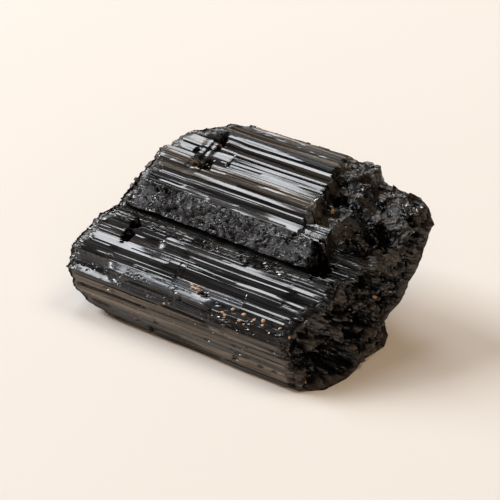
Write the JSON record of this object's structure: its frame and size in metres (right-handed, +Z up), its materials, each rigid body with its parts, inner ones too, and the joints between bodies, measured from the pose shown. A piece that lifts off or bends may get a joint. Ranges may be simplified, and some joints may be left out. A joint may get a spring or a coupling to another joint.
{
  "type": "tourmaline crystal",
  "caption": "Chunk of black tourmaline: parallel striated prisms grown into one mass, a raised upper block over a stepped front ledge, both ends broken across, resting on a flat underside.",
  "frame": {"origin": "middle of the underside of the crystal's bounding box, on the surface that it rests on", "axes": "+X along the prisms towards the far-stepping broken end, +Y from the striated front face to the back, +Z up"},
  "size_m": [0.0654, 0.0418, 0.0266],
  "materials": {
    "black_tourmaline": "glossy on the prism faces, dull on the broken ends"
  },
  "bodies": {
    "root": {"tourmaline_crystal": "black_tourmaline"}
  },
  "joints": []
}
